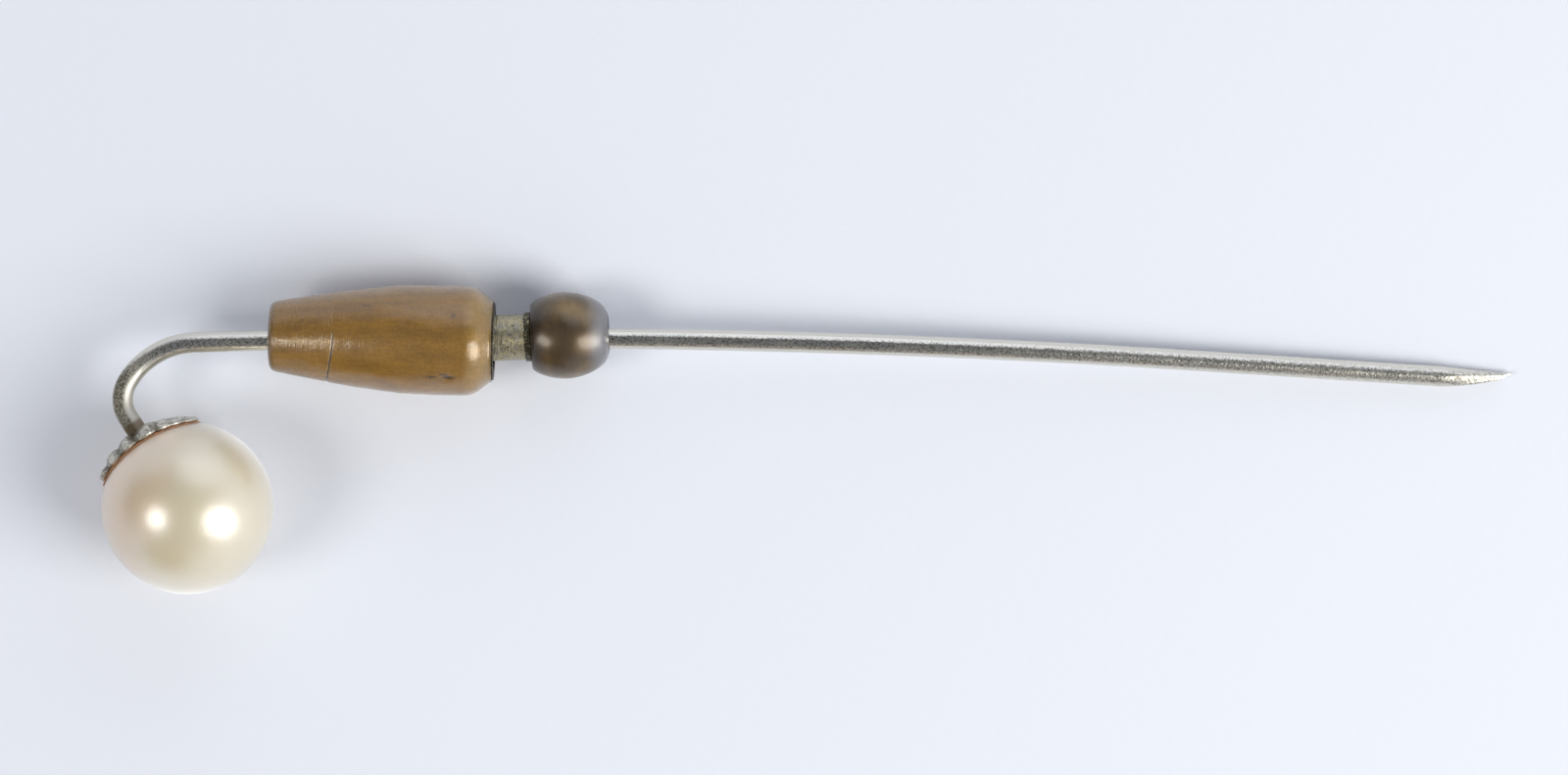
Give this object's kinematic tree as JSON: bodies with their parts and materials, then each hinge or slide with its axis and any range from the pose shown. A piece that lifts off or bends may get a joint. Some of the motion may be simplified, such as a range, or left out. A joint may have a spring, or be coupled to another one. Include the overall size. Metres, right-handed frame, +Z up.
{
  "type": "pearl stick pin with a spring guard",
  "caption": "Hooked wire pin with a pearl in a lobed cap at its head, and a spring guard that slides on the shank and lets go when its knob is pulled.",
  "frame": {"origin": "on the surface that the pin lies on, under the middle of its bounding box", "axes": "+X along the shank towards the point, +Y across it away from the pearl, +Z up from the surface"},
  "size_m": [0.0656, 0.0144, 0.008],
  "materials": {
    "wire_nickel_silver": "satin",
    "pearl": "gloss",
    "cap_silver": "satin",
    "lining_gilt": "satin",
    "barrel_brass": "satin",
    "ring_nickel": "satin",
    "neck_nickel": "satin",
    "knob_bronzed": "satin"
  },
  "bodies": {
    "pin": {"pin_wire": "wire_nickel_silver", "pearl": "pearl", "pearl_cap": "cap_silver", "cap_lining": "lining_gilt"},
    "guard": {"guard_barrel": "barrel_brass", "mouth_ring": "ring_nickel"},
    "plunger": {"guard_neck": "neck_nickel", "guard_knob": "knob_bronzed"}
  },
  "joints": [
    {"name": "guard_slide", "type": "hinge", "parent": "pin", "child": "guard", "pos_m": [-0.01103, -0.49267, 0.05347], "axis": [-0.0496, -0.1022, -0.9935], "range_deg": [-0.2, 6.7]},
    {"name": "knob_pull", "type": "slide", "parent": "guard", "child": "plunger", "axis": [0.9977, 0.0399, -0.0539], "range_m": [0, 0.0009], "stiffness_N_per_m": 2500}
  ]
}
